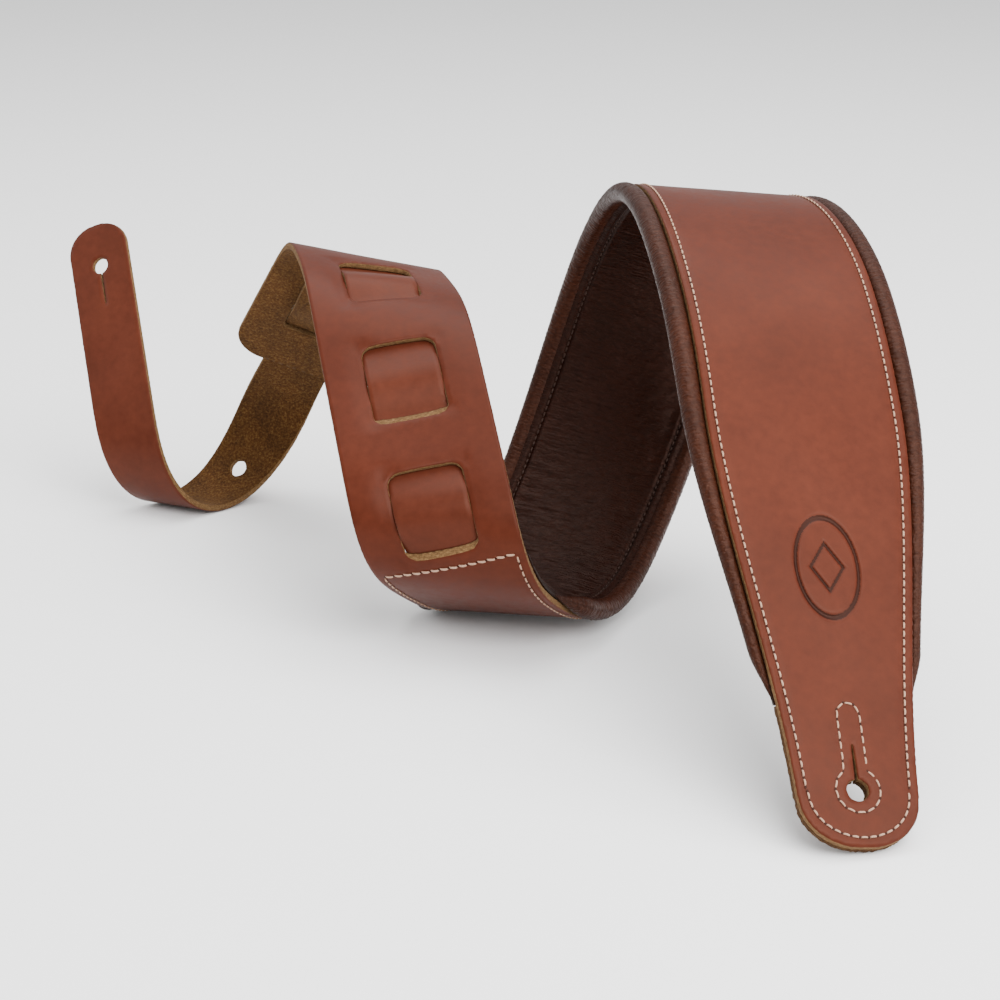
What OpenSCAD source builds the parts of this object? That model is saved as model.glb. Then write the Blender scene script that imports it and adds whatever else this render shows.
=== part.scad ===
// Padded leather guitar strap, standing in a loose wave on the floor.
// Every piece is laid out flat first: u runs along the strap from the tip of the
// button tab, v runs across it, w runs from the grain side to the inner side.
// place(u, v, w) then folds that flat layout through the bends of the wave.
// Millimetres, Z up, the floor at Z = 0.

/* [Main strap] */
// Thickness of the main strap leather
leather_t = 3.0; // [2.4:0.1:3.4]
// Half width of the button tab
tab_half = 22.5; // [20:0.5:23.5]
// Half width of the padded belly
belly_half = 39.5; // [37:0.5:41]
// Half width of the slotted ladder
ladder_half = 33; // [32:0.5:34]
// Length from tab tip to the free end of the flap
strap_len = 963; // [959:1:967]
// Length of the rounded end of the tab
tab_round = 18.5; // [16:0.5:22]
// Corner radius of the flap
flap_round = 15; // [10:1:20]

/* [Ladder openings] */
// Distance of the first opening from the tab tip
opening_1 = 696; // [694:0.5:698]
// Spacing of the openings
opening_pitch = 64; // [63:0.5:65]
// Length of an opening
opening_len = 37; // [34:0.5:38]
// Half width of an opening
opening_half = 15.75; // [15.5:0.25:16.25]
// Start of the slot that the tail leaves through
exit_from = 917; // [915:1:919]
// End of the slot that the tail leaves through
exit_to = 935; // [933:1:937]
// Half width of that slot
exit_half = 17.3; // [17:0.1:18]

/* [Button holes] */
// Radius of the strap-button holes
hole_r = 4; // [3.5:0.25:4.5]
// Distance of the tab's hole from the tab tip
tab_hole = 21; // [19:0.5:24]
// Length of the slit beyond a hole
slit_len = 13; // [8:1:14]
// Width of the slits
slit_w = 0.8; // [0.6:0.1:1.2]
// Thickness of the second leather behind the tab
backing_t = 2.5; // [2:0.1:3]

/* [Pad] */
// Where the pad starts
pad_from = 54; // [52:1:57]
// Where the pad ends
pad_to = 668; // [665:1:669]
// Thickness of the foam
foam_t = 4.6; // [3.5:0.1:5]
// Thickness of the garment leather lining
lining_t = 1.0; // [0.8:0.1:1.2]
// Radius of the rolled edges
roll_r = 4.4; // [4:0.1:4.8]
// Where the rolled edges end
roll_to = 637; // [627:1:647]

/* [Thread] */
// Distance of the thread rows from the edge of the leather
row_inset = 3.6; // [3:0.1:4]
// Width of the thread
thread_w = 1.0; // [0.8:0.1:1.2]
// Height of the thread
thread_h = 0.3; // [0.2:0.1:0.5]

/* [Tail strap] */
// Thickness of the tail leather
tail_t = 3.0; // [2.6:0.1:3.2]
// Half width of the tail
tail_half = 16; // [15.5:0.1:16.2]
// Half width of the tail where it is threaded through the ladder
tail_inner = 15.2; // [14.5:0.1:15.3]
// How far the tail rises into each opening
tail_rise = 2.8; // [0:0.1:3]
// Hidden end of the tail, behind the first opening
tail_from = 672; // [670:1:674]
// Round end of the tail
tail_to = 1221; // [1216:1:1226]
// Distance of the tail's hole from the tab tip, along the wave
tail_hole = 1199; // [1197:1:1201]
// Second hole of the tail
second_hole = 1032; // [1028:1:1036]

/* [Hidden] */

// The bends of the wave: from, to, turn, skew of the fold line (mm, mm, degrees, degrees)
front_sweep  = [110, 420, 55, -3];
crest_front  = [260, 520, 95, 15];
back_leg     = [390, 610, 45, 30];
trough_back  = [530, 650, 65, 10];
trough_front = [630, 730, 105, 19];
ladder_rise  = [750, 860, 44, 30];
crest_ladder = [840, 900, 54, 15];
tail_drop    = [960, 1060, 80, 40];
tail_trough  = [1010, 1140, 165, 25];
BENDS = [front_sweep, crest_front, back_leg, trough_back, trough_front,
         ladder_rise, crest_ladder, tail_drop, tail_trough];
// How far the tab's cross direction is turned from +X, seen from above
heading = 12;

STEP = 5;                       // distance between fold lines
N = 246;
half_t = leather_t / 2;

function total(a, i = 0) = i < len(a) ? a[i] + total(a, i + 1) : 0;
function ease(a, b, x) = let (t = min(1, max(0, (x - a) / (b - a)))) t * t * (3 - 2 * t);
// share of a bend's turn per mm at u: a raised cosine
function rate(b, u) = u <= b[0] || u >= b[1] ? 0 :
    b[2] / (b[1] - b[0]) * (1 - cos(360 * (u - b[0]) / (b[1] - b[0])));
function near(b, u) = 0.00001 * exp(-pow((u - (b[0] + b[1]) / 2) / 200, 2));
RATE = [for (k = [0 : N]) total([for (b = BENDS) rate(b, k * STEP)])];
SKEW = [for (k = [0 : N]) let (w = [for (b = BENDS) rate(b, k * STEP) + near(b, k * STEP)])
        total([for (i = [0 : len(BENDS) - 1]) w[i] * BENDS[i][3]]) / total(w)];
function skew(u) = let (x = min(N - 0.001, max(0, u / STEP)), k = floor(x))
    SKEW[k] + (SKEW[k + 1] - SKEW[k]) * (x - k);

// one fold: turn by d about the line through (u, 0) that leans by s
function fold(d, s) = let (a = sin(s), b = -cos(s), c = cos(d), n = sin(d), k = 1 - c)
    [[c + k * a * a, k * a * b, n * b], [k * a * b, c + k * b * b, -n * a], [-n * b, n * a, c]];
// CHAIN[k] holds the pose of the strip after fold k, with the flat tab as its start
CHAIN = [for (k = 0, F = fold(RATE[0] * STEP, SKEW[0]), R = [[1, 0, 0], [0, 1, 0], [0, 0, 1]], t = [0, 0, 0]; k <= N;
              k = k + 1,
              F = k <= N ? fold(RATE[k] * STEP, SKEW[k]) : F,
              t = k <= N ? t + R * ([k * STEP, 0, 0] - F * [k * STEP, 0, 0]) : t,
              R = k <= N ? R * F : R) [R, t]];
function strip(u, v, n = 0, x = undef) = n == 4 ? x : strip(u, v, n + 1, u + v * tan(skew(x == undef ? u : x)));
function normal(k) = let (R = CHAIN[k][0]) [R[0][2], R[1][2], R[2][2]];
function unit(a) = a / norm(a);
function fly(u, v, w) = let (x = min(N - 1.001, max(0.001, strip(u, v) / STEP)), k = floor(x),
        y = max(0, x - 0.5), m = floor(y), f = y - m, c = CHAIN[k])
    c[0] * [u, v, 0] + c[1] + w * unit(normal(m) * (1 - f) + normal(m + 1) * f);

// outlines in the flat
function tip(d, r) = d >= r ? 1 : pow(1 - pow(1 - (d + 0.25) / (r + 0.25), 2.1), 1 / 2.1);
function corner(d, r) = d >= r ? 0 : r - sqrt(r * r - (r - d) * (r - d));
function body_half(u) = tab_half + (belly_half - tab_half) * ease(5, 175, u)
    - (belly_half - ladder_half) * ease(235, 395, u);
function half_at(u) = u < tab_round ? tab_half * tip(u, tab_round) : body_half(u) - corner(strap_len - u, flap_round);
// centres of the ladder openings
O = [for (i = [0 : 2]) opening_1 + i * opening_pitch];
h = opening_len / 2;
// the tail lies behind the ladder, rises into each opening and leaves through the exit slot
function bump(u) = total([for (c = O) abs(u - c) < h ? (1 + cos(180 * (u - c) / h)) / 2 : 0]);
function tail_w(u) = half_t + tail_t / 2 + 0.15 - tail_rise * bump(u)
    - (leather_t + tail_t + 0.3) * ease(911, 941, u);
function outside(u) = ease(900, 930, u);
function tail_half_at(u) = (tail_inner + (tail_half - tail_inner) * outside(u)) * tip(tail_to - u, 14)
    - 0.98 * corner(u - tail_from, 10);
function tail_mid(u) = 0.9 * outside(u);
// the roll's radius grows from the tab and fades before the ladder
function roll_at(x) = roll_r * (0.12 + 0.4 * ease(55, 75, x) + 0.48 * ease(67, 197, x))
    * (0.15 + 0.85 * (1 - ease(roll_to - 24, roll_to, x)));
roll_w = 2.5;                   // height of the roll's centre line over the middle of the leather
function roll_ring(u, s, turns) = let (r = roll_at(u)) [for (a = turns) [r + 0.15 + r * cos(s * a), roll_w + r * sin(s * a)]];

// resting place: the strap stands on three lowest points, one each of the tab, the trough and the tail
TAB = [for (u = [0 : 1 : 8], e = [-1 : 0.25 : 1], w = [-half_t, half_t + 0.05 + backing_t]) fly(u, e * half_at(u), w)];
TROUGH = concat([for (u = [540 : 2 : 700], s = [-1, 1]) fly(u, s * body_half(u), -half_t)],
    [for (u = [540 : 4 : 636], s = [-1, 1], q = roll_ring(u, s, [0 : 40 : 320])) fly(u, s * (body_half(u) + q[0]), q[1])]);
TAIL = [for (u = [980 : 1 : 1160], s = [-1, 1], e = [-0.5, 0.5])
    fly(u, tail_mid(u) + s * tail_half_at(u), tail_w(u) + e * tail_t)];
function lowest(zone, up) = let (d = zone * up, m = min(d)) zone[[for (i = [0 : len(d) - 1]) if (d[i] == m) i][0]];
function level(up, n = 0) = n == 6 ? up :
    let (a = lowest(TAB, up), b = lowest(TROUGH, up), c = lowest(TAIL, up), m = unit(cross(b - a, c - a)))
    level(m * up > 0 ? m : -m, n + 1);
UP = level(unit([0.7, -0.2, -0.7]));
SIDE = unit([0, 1, 0] - UP[1] * UP);
AHEAD = SIDE * cos(heading) - cross(UP, SIDE) * sin(heading);
STAND = [AHEAD, cross(UP, AHEAD), UP];
// the lowest point is on the floor, and the middle of the box is the origin
LIMITS = [for (p = concat(TAB, TROUGH, TAIL,
    [for (u = [20 : 4 : 540], s = [-1, 1], q = roll_ring(u, s, [0 : 20 : 340])) fly(u, s * (body_half(u) + q[0]), q[1])],
    [for (u = [1160 : 1 : tail_to], s = [-1, 1], e = [-0.5, 0.5])
        fly(u, tail_mid(u) + s * tail_half_at(u), tail_w(u) + e * tail_t)])) STAND * p];
function low(i) = min([for (p = LIMITS) p[i]]);
function high(i) = max([for (p = LIMITS) p[i]]);
HOME = [(low(0) + high(0)) / 2, (low(1) + high(1)) / 2, low(2)];
function place(u, v, w) = STAND * fly(u, v, w) - HOME;

// a plate: flat grid of [u, v] points between two offsets; gone(i, j) marks missing cells
module plate(G, lo, hi, gone = []) {
    rows = len(G); cols = len(G[0]); n = rows * cols;
    pts = concat([for (r = G, p = r) place(p[0], p[1], lo(p[0]))], [for (r = G, p = r) place(p[0], p[1], hi(p[0]))]);
    function id(i, j) = i * cols + j;
    function has(i, j) = i >= 0 && j >= 0 && i < rows - 1 && j < cols - 1
        && len([for (g = gone) if (i >= g[0] && i < g[1] && j >= g[2] && j < g[3]) 1]) == 0;
    function wall(p, q) = [[q, p, p + n], [q, p + n, q + n]];
    faces = [for (i = [0 : rows - 2], j = [0 : cols - 2]) if (has(i, j))
        let (a = id(i, j), b = id(i + 1, j), c = id(i + 1, j + 1), d = id(i, j + 1))
        each concat([[a, b, c], [a, c, d], [a + n, d + n, c + n], [a + n, c + n, b + n]],
            has(i, j - 1) ? [] : wall(a, b), has(i + 1, j) ? [] : wall(b, c),
            has(i, j + 1) ? [] : wall(c, d), has(i - 1, j) ? [] : wall(d, a))];
    polyhedron(pts, faces, convexity = 20);
}

// a solid swept through rings of equal length
module sweep(rings) {
    n = len(rings[0]); m = len(rings);
    pts = [for (r = rings, p = r) p];
    sides = [for (i = [0 : m - 2], j = [0 : n - 1])
        let (a = i * n + j, b = i * n + (j + 1) % n, c = b + n, d = a + n) each [[a, d, c], [a, c, b]]];
    polyhedron(pts, concat([[for (j = [0 : n - 1]) j]], sides, [[for (j = [n - 1 : -1 : 0]) (m - 1) * n + j]]),
        convexity = 20);
}

// a ring across the strap along fold line x; each entry is [side, distance from the edge, w]
function edge_u(x, s, e, n = 0, u = undef) = n == 4 ? u :
    edge_u(x, s, e, n + 1, x - s * (body_half(u == undef ? x : u) + e) * tan(skew(x)));
function across(x, sec) = [for (p = sec) let (u = edge_u(x, p[0], p[1])) place(u, p[0] * (body_half(u) + p[1]), p[2])];
function stations(a, b) = concat([a], [for (x = [2.5 : STEP : 1240]) if (x > a + 1 && x < b - 1
    && (x > 250 || (x - 2.5) % 10 == 0)) x], [b]);

// a thread laid along a flat path of [u, v] points, above the face at offset w
function along(P, i) = let (a = P[max(0, i - 1)], b = P[min(len(P) - 1, i + 1)]) (b - a) / norm(b - a);
module thread(P, w, dir = -1, tw = thread_w, th = thread_h) {
    sweep([for (i = [0 : len(P) - 1]) let (t = along(P, i), n = [-t[1], t[0]] * tw / 2, p = P[i],
            w0 = w + dir * 0.05, w1 = w0 + dir * th, a = p + n, b = p - n)
        dir < 0 ? [place(a[0], a[1], w1), place(a[0], a[1], w0), place(b[0], b[1], w0), place(b[0], b[1], w1)]
                : [place(a[0], a[1], w0), place(a[0], a[1], w1), place(b[0], b[1], w1), place(b[0], b[1], w0)]]);
}

// a cutter that stands square to the strap at (u, v)
module square_to(u, v) {
    o = place(u, v, 0); c = STAND * CHAIN[floor(max(0, strip(u, v) / STEP))][0];
    multmatrix([[c[0][0], c[0][1], c[0][2], o[0]], [c[1][0], c[1][1], c[1][2], o[1]],
                [c[2][0], c[2][1], c[2][2], o[2]], [0, 0, 0, 1]]) children();
}
module button_hole(dir) {
    cylinder(r = hole_r, h = 30, center = true, $fn = 64);
    if (dir != 0)
        translate([dir * (hole_r + slit_len / 2 - 0.5), 0, 0]) cube([slit_len, slit_w, 30], center = true);
}

// main strap: columns as shares of the half width, rows closer where it bends more
ROWS = concat([0, 1, 2.5, 5, 8.5, 13, 18, 24], [for (u = [33 : 11 : 110]) u], [for (u = [118 : 8 : 262]) u],
    [for (u = [268 : 6.5 : 672]) u],
    [for (c = O) each [c - h, c - h + 5, c - 7, c, c + 7, c + h - 5, c + h, c + h + 7, c + h + 14, c + h + 21]],
    [for (u = [O[2] + h + 28 : 7 : exit_from - 3]) u],
    [exit_from, (exit_from + exit_to) / 2, exit_to], [941], strap_len * [1, 1, 1, 1, 1, 1] - [flap_round, 10, 6, 3, 0.8, 0]);
function col(u, j) = let (s = exit_half + (opening_half - exit_half) * (1 - ease(887, 912, u)))
    let (e = [-1, -0.72, -s / 33, -0.3, -0.1, 0.1, 0.3, s / 33, 0.72, 1][j]) e * half_at(u);
// the rounded corner of an opening: its corner point moves in by this much
cut = 1.46;
function nudge(u, v) = let (k = [for (c = O, s = [-1, 1], e = [-1, 1])
        if (abs(u - c - s * h) < 0.01 && abs(v - e * opening_half) < 0.3) [-s * cut, -e * cut]])
    len(k) > 0 ? k[0] : [0, 0];
function row_of(u) = [for (i = [0 : len(ROWS) - 1]) if (abs(ROWS[i] - u) < 0.01) i][0];
module outer_leather() {
    G = [for (u = ROWS) [for (j = [0 : 9]) let (v = col(u, j)) [u, v] + nudge(u, v)]];
    lo = function (u) -half_t;
    hi = function (u) half_t;
    color([0.45, 0.2, 0.13]) difference() {
        plate(G, lo, hi, concat([for (c = O) [row_of(c - h), row_of(c + h), 2, 7]],
            [[row_of(exit_from), row_of(exit_to), 2, 7]]));
        square_to(tab_hole, 0) button_hole(1);
    }
}
module tab_backing() {
    R = concat([0, 1, 2.5, 5, 8.5, 13, 18, 24, 40], [pad_from - 0.4]);
    G = [for (u = R) [for (e = [-1, -0.5, 0, 0.5, 1]) [u, e * half_at(u)]]];
    lo = function (u) half_t + 0.05;
    hi = function (u) half_t + 0.05 + backing_t;
    color([0.4, 0.27, 0.15]) difference() {
        plate(G, lo, hi);
        square_to(tab_hole, 0) button_hole(1);
    }
}
foam_lo = half_t + 0.15;
foam_hi = foam_lo + foam_t;
line_hi = foam_hi + 0.15 + lining_t;
module foam_pad() color([0.8, 0.8, 0.75])
    sweep([for (x = stations(pad_from + 2, pad_to - 2)) across(x,
        [[-1, -2.4, foam_lo], [1, -2.4, foam_lo], [1, -2.4, foam_hi], [-1, -2.4, foam_hi]])]);
module pad_lining() color([0.22, 0.12, 0.09])
    sweep([for (x = stations(pad_from, pad_to)) across(x,
        [[-1, -0.9, foam_lo], [-1, -0.9 - lining_t, foam_lo], [-1, -0.9 - lining_t, foam_hi + 0.15],
         [1, -0.9 - lining_t, foam_hi + 0.15], [1, -0.9 - lining_t, foam_lo], [1, -0.9, foam_lo],
         [1, -0.9, line_hi - 0.6], [1, -1.5, line_hi], [-1, -1.5, line_hi], [-1, -0.9, line_hi - 0.6]])]);
module roll(s) color([0.26, 0.14, 0.1])
    sweep([for (x = stations(pad_from + 2, roll_to)) across(x, [for (q = roll_ring(x, s, [0 : 40 : 320])) [s, q[0], q[1]]])]);
module roll_left() roll(-1);
module roll_right() roll(1);

// thread rows on the grain side
function inset(u) = half_at(u) - row_inset;
tab_turn = 20;
module edge_thread(s) color([0.88, 0.76, 0.68])
    thread([for (u = concat([for (x = [tab_turn + 2 : 8 : 250]) x], [for (x = [258 : 5.5 : 668]) x])) [u, s * (inset(u))]], -half_t);
module edge_thread_left() edge_thread(-1);
module edge_thread_right() edge_thread(1);
module tab_thread() color([0.88, 0.76, 0.68])
    thread([for (a = [-90 : 10 : 90]) let (r = tab_half - row_inset)
        [tab_turn + 0.5 - (tab_turn - row_inset + 0.5) * pow(cos(a), 0.92), r * sin(a)]], -half_t);
// keyhole: ring round the hole, neck and a leg with a round end
key_r = 8.4;
leg_half = 4.3;
leg_end = 54;
neck = asin(leg_half / key_r);
module keyhole_thread() color([0.88, 0.76, 0.68])
    thread(concat([for (a = [neck : (360 - 2 * neck) / 22 : 360 - neck + 0.1]) [tab_hole + key_r * cos(a), key_r * sin(a)]],
        [for (u = [31 : 6 : 49]) [u, -leg_half]],
        [for (a = [-60 : 30 : 60]) [leg_end - leg_half + leg_half * cos(a), leg_half * sin(a)]],
        [for (u = [49 : -6 : 31]) [u, leg_half]]), -half_t);
module pad_end_thread() color([0.88, 0.76, 0.68])
    thread([for (v = [-inset(671) + 0.6 : (2 * inset(671) - 1.2) / 12 : inset(671) - 0.5]) [pad_to + 3, v]], -half_t);
module lining_thread(s) color([0.3, 0.18, 0.12])
    thread([for (u = [63 : 6 : 661]) [u, s * (body_half(u) - 2.6)]], line_hi - 0.05, 1, 0.8, 0.4);
module lining_thread_left() lining_thread(-1);
module lining_thread_right() lining_thread(1);

// tail strap: inside the ladder, out through the exit slot, then down to its own trough
TAIL_ROWS = concat([0, 1.5, 3.5] + tail_from * [1, 1, 1],
    [for (c = O) each [c - h, c - h + 5, c - 7, c, c + 7, c + h - 5, c + h, c + h + 9, c + h + 18]],
    [for (u = [869 : 7 : 904]) u], [for (u = [908 : 4 : 948]) u], [for (u = [953 : 6 : 1003]) u],
    [for (u = [1008 : 5 : 1138]) u], [for (u = [1148 : 12 : tail_to - 16]) u],
    [-13, -9, -5.5, -3, -1.2, 0] + tail_to * [1, 1, 1, 1, 1, 1]);
module tail_strap() {
    G = [for (u = TAIL_ROWS) [for (e = [-1, -0.5, 0, 0.5, 1]) [u, tail_mid(u) + e * tail_half_at(u)]]];
    lo = function (u) tail_w(u) - tail_t / 2;
    hi = function (u) tail_w(u) + tail_t / 2;
    color([0.5, 0.24, 0.16]) difference() {
        plate(G, lo, hi);
        square_to(tail_hole, tail_mid(tail_hole)) button_hole(-1);
        square_to(second_hole, tail_mid(second_hole)) button_hole(0);
    }
}

outer_leather();
tab_backing();
foam_pad();
pad_lining();
roll_left();
roll_right();
edge_thread_left();
edge_thread_right();
tab_thread();
keyhole_thread();
pad_end_thread();
lining_thread_left();
lining_thread_right();
tail_strap();
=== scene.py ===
"""Looks of a padded leather guitar strap that stands in a loose wave on the floor.

Every piece is laid out flat first, in millimetres: u runs along the strap from the tip of
its button tab, v across it, and w from the smooth grain side to the inner side. place()
folds that flat layout through the same named bends as the CAD model, and home() shifts the
result onto the frame's own pieces.
"""
import math

import bpy
import numpy as np
from mathutils import Euler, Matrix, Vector
from mathutils.geometry import delaunay_2d_cdt


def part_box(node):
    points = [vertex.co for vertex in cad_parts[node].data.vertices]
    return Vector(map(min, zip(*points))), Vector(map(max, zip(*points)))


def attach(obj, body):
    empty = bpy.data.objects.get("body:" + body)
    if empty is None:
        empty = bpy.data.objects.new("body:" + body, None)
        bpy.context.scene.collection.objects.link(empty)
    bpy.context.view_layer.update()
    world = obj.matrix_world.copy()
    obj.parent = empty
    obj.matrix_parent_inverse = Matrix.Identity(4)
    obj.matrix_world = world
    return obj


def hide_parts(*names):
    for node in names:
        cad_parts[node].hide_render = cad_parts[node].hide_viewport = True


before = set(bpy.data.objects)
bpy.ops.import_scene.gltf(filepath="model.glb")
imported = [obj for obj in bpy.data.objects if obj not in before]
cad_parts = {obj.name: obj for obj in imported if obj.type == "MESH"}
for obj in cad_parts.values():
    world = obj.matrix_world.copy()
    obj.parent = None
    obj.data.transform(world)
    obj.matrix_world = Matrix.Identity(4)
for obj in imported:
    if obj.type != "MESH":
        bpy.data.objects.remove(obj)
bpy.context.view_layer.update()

MM = 0.001

# ---------------------------------------------------------------- the wave
# from, to, turn, skew of the fold line (mm, mm, degrees, degrees)
FRONT_SWEEP = (110, 420, 55, -3)
CREST_FRONT = (260, 520, 95, 15)
BACK_LEG = (390, 610, 45, 30)
TROUGH_BACK = (530, 650, 65, 10)
TROUGH_FRONT = (630, 730, 105, 19)
LADDER_RISE = (750, 860, 44, 30)
CREST_LADDER = (840, 900, 54, 15)
TAIL_DROP = (960, 1060, 80, 40)
TAIL_TROUGH = (1010, 1140, 165, 25)
BENDS = np.array([FRONT_SWEEP, CREST_FRONT, BACK_LEG, TROUGH_BACK, TROUGH_FRONT,
                  LADDER_RISE, CREST_LADDER, TAIL_DROP, TAIL_TROUGH], float)
STEP = 1.0          # distance between fold lines
REACH = 1240        # length that the fold lines cover

# driving dimensions
LEATHER = 3.0
HALF = LEATHER / 2
STRAP_LEN = 963.0
FLAP_ROUND = 15.0
TAB_HALF, BELLY_HALF, LADDER_HALF = 22.5, 39.5, 33.0
TAB_ROUND = 18.5
OPENINGS = [696.0 + 64.0 * i for i in range(3)]
OPENING_LEN, OPENING_HALF, OPENING_ROUND = 37.0, 15.75, 5.0
EXIT_FROM, EXIT_TO, EXIT_HALF = 917.0, 935.0, 15.3
HOLE_R, TAB_HOLE, SLIT_LEN, SLIT_HALF = 4.0, 21.0, 13.0, 0.45
BACKING = 2.5
PAD_FROM, PAD_TO = 54.0, 668.0
FOAM_TOP = 6.25
ROLL_R, ROLL_W, ROLL_TO = 4.4, 2.5, 637.0
ROW_INSET = 3.6
TAIL_T, TAIL_HALF, TAIL_INNER, TAIL_RISE = 3.0, 16.0, 15.2, 3.5
TAIL_FROM, TAIL_TO, TAIL_HOLE, SECOND_HOLE = 672.0, 1221.0, 1199.0, 1032.0


def ease(a, b, x):
    t = np.clip((np.asarray(x, float) - a) / (b - a), 0, 1)
    return t * t * (3 - 2 * t)


def folded():
    """Pose of the strip after each fold line: skew (degrees), rotation and shift."""
    u = np.arange(0, REACH + STEP, STEP)
    t = (u[:, None] - BENDS[:, 0]) / (BENDS[:, 1] - BENDS[:, 0])
    share = BENDS[:, 2] / (BENDS[:, 1] - BENDS[:, 0]) * (1 - np.cos(2 * np.pi * t))
    rate = np.where((t > 0) & (t < 1), share, 0)
    near = 1e-5 * np.exp(-((u[:, None] - BENDS[:, :2].mean(1)) / 200) ** 2)
    weight = rate + near
    skew = (weight * BENDS[:, 3]).sum(1) / weight.sum(1)
    turn = np.radians(rate.sum(1) * STEP)
    rot, shift = np.eye(3), np.zeros(3)
    rots, shifts = [], []
    for k in range(len(u)):
        a, b = math.sin(math.radians(skew[k])), -math.cos(math.radians(skew[k]))
        c, s = math.cos(turn[k]), math.sin(turn[k])
        fold = np.array([[c + (1 - c) * a * a, (1 - c) * a * b, s * b],
                         [(1 - c) * a * b, c + (1 - c) * b * b, -s * a],
                         [-s * b, s * a, c]])
        point = np.array([u[k], 0, 0])
        shift = shift + rot @ (point - fold @ point)
        rot = rot @ fold
        rots.append(rot)
        shifts.append(shift)
    return skew, np.array(rots), np.array(shifts)


SKEW, ROTS, SHIFTS = folded()
LINES = np.arange(len(SKEW)) * STEP


def strip(u, v):
    """The fold line that the flat point (u, v) lies on, by its u on the middle line."""
    x = np.asarray(u, float)
    for _ in range(4):
        x = u + v * np.tan(np.radians(np.interp(x, LINES, SKEW)))
    return x


def fly(u, v, w):
    """Flat points folded through the bends, before the strap is stood on the floor."""
    u, v, w = np.broadcast_arrays(np.asarray(u, float), np.asarray(v, float), np.asarray(w, float))
    x = np.clip(strip(u, v) / STEP, 0.001, len(LINES) - 1.001)
    k = np.floor(x).astype(int)
    y = np.maximum(0, x - 0.5)
    m = np.floor(y).astype(int)
    f = (y - m)[..., None]
    normal = ROTS[m][..., :, 2] * (1 - f) + ROTS[m + 1][..., :, 2] * f
    flat = np.stack([u, v, np.zeros_like(u)], -1)
    return np.einsum("...ij,...j->...i", ROTS[k], flat) + SHIFTS[k] + w[..., None] * normal


def body_half(u):
    return TAB_HALF + (BELLY_HALF - TAB_HALF) * ease(5, 175, u) \
        - (BELLY_HALF - LADDER_HALF) * ease(235, 395, u)


def tip(d, r):
    d = np.clip((d + 0.25) / (r + 0.25), 0, 1)
    return np.power(1 - np.power(1 - d, 2.1), 1 / 2.1)


def corner(d, r):
    d = np.clip(d, 0, r)
    return r - np.sqrt(r * r - (r - d) ** 2)


def half_at(u):
    return np.where(u < TAB_ROUND, TAB_HALF * tip(u, TAB_ROUND),
                    body_half(u) - corner(STRAP_LEN - u, FLAP_ROUND))


def bump(u):
    u = np.asarray(u, float)
    h = OPENING_LEN / 2
    return sum(np.where(abs(u - c) < h, (1 + np.cos(np.pi * (u - c) / h)) / 2, 0) for c in OPENINGS)


def tail_w(u):
    return HALF + TAIL_T / 2 + 0.15 - TAIL_RISE * bump(u) - (LEATHER + TAIL_T + 0.3) * ease(911, 941, u)


def outside(u):
    return ease(900, 930, u)


def tail_half_at(u):
    return (TAIL_INNER + (TAIL_HALF - TAIL_INNER) * outside(u)) * tip(TAIL_TO - u, 14) \
        - 0.98 * corner(u - TAIL_FROM, 10)


def tail_spread(u):
    """The tail presses out behind the bridges and just fills the openings."""
    return 1.1 * (1 - outside(u)) * (1 - 0.5 * np.sqrt(bump(u))) * ease(675, 680, u)


def tail_mid(u):
    return 0.9 * outside(u)


def roll_at(u):
    return ROLL_R * (0.12 + 0.4 * ease(55, 75, u) + 0.48 * ease(67, 197, u)) \
        * (0.15 + 0.85 * (1 - ease(ROLL_TO - 24, ROLL_TO, u)))


def stand():
    """Turns the folded strap to stand on the floor: the lowest points of its tab, trough and tail give the floor's
    plane, found again over eight rounds, and the strap is then turned 12 degrees about the upright."""
    up = np.array([0.7, -0.2, -0.7])
    grid = np.arange
    tab = fly(grid(0, 8.5, 1.0)[:, None], half_at(grid(0, 8.5, 1.0))[:, None] * np.linspace(-1, 1, 9),
              HALF + 0.05 + BACKING).reshape(-1, 3)
    tab = np.concatenate([tab, fly(grid(0, 8.5, 1.0)[:, None], half_at(grid(0, 8.5, 1.0))[:, None]
                                   * np.linspace(-1, 1, 9), -HALF).reshape(-1, 3)])
    u = grid(540, 700, 1.0)[:, None]
    trough = [fly(u, body_half(u) * np.array([[-1, 1]]), -HALF).reshape(-1, 3)]
    u = grid(540, ROLL_TO, 2.0)
    for side in (-1, 1):
        for a in np.radians(grid(0, 360, 40)):
            r = roll_at(u)
            trough.append(fly(u, side * (body_half(u) + 0.15 + r + r * np.cos(a)), ROLL_W + r * np.sin(a)))
    trough = np.concatenate(trough)
    u = grid(980, 1160, 1.0)
    tail = np.concatenate([fly(u, tail_mid(u) + s * tail_half_at(u), tail_w(u) + e * TAIL_T)
                           for s in (-1, 1) for e in (-0.5, 0.5)])
    for _ in range(8):
        up = up / np.linalg.norm(up)
        a, b, c = [z[(z @ up).argmin()] for z in (tab, trough, tail)]
        normal = np.cross(b - a, c - a)
        up = normal if normal @ up > 0 else -normal
    up = up / np.linalg.norm(up)
    side = np.array([0, 1, 0]) - up[1] * up
    side = side / np.linalg.norm(side)
    heading = math.radians(12)
    ahead = side * math.cos(heading) - np.cross(up, side) * math.sin(heading)
    return np.array([ahead, np.cross(up, ahead), up])


STAND = stand()


def home():
    """The shift that puts the middle of our tail's box on the middle of the frame's tail_strap box."""
    u = np.arange(TAIL_FROM, TAIL_TO + 0.1, 0.5)
    ours = np.concatenate([fly(u, tail_mid(u) + s * tail_half_at(u), tail_w(u) + e * TAIL_T)
                           for s in (-1, 0, 1) for e in (-0.5, 0.5)]) @ STAND.T
    low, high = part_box("tail_strap")
    return (ours.min(0) + ours.max(0)) / 2 - (np.array(low) + np.array(high)) / 2 / MM


HOME = home()


def place(u, v, w):
    return (fly(u, v, w) @ STAND.T - HOME) * MM


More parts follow.
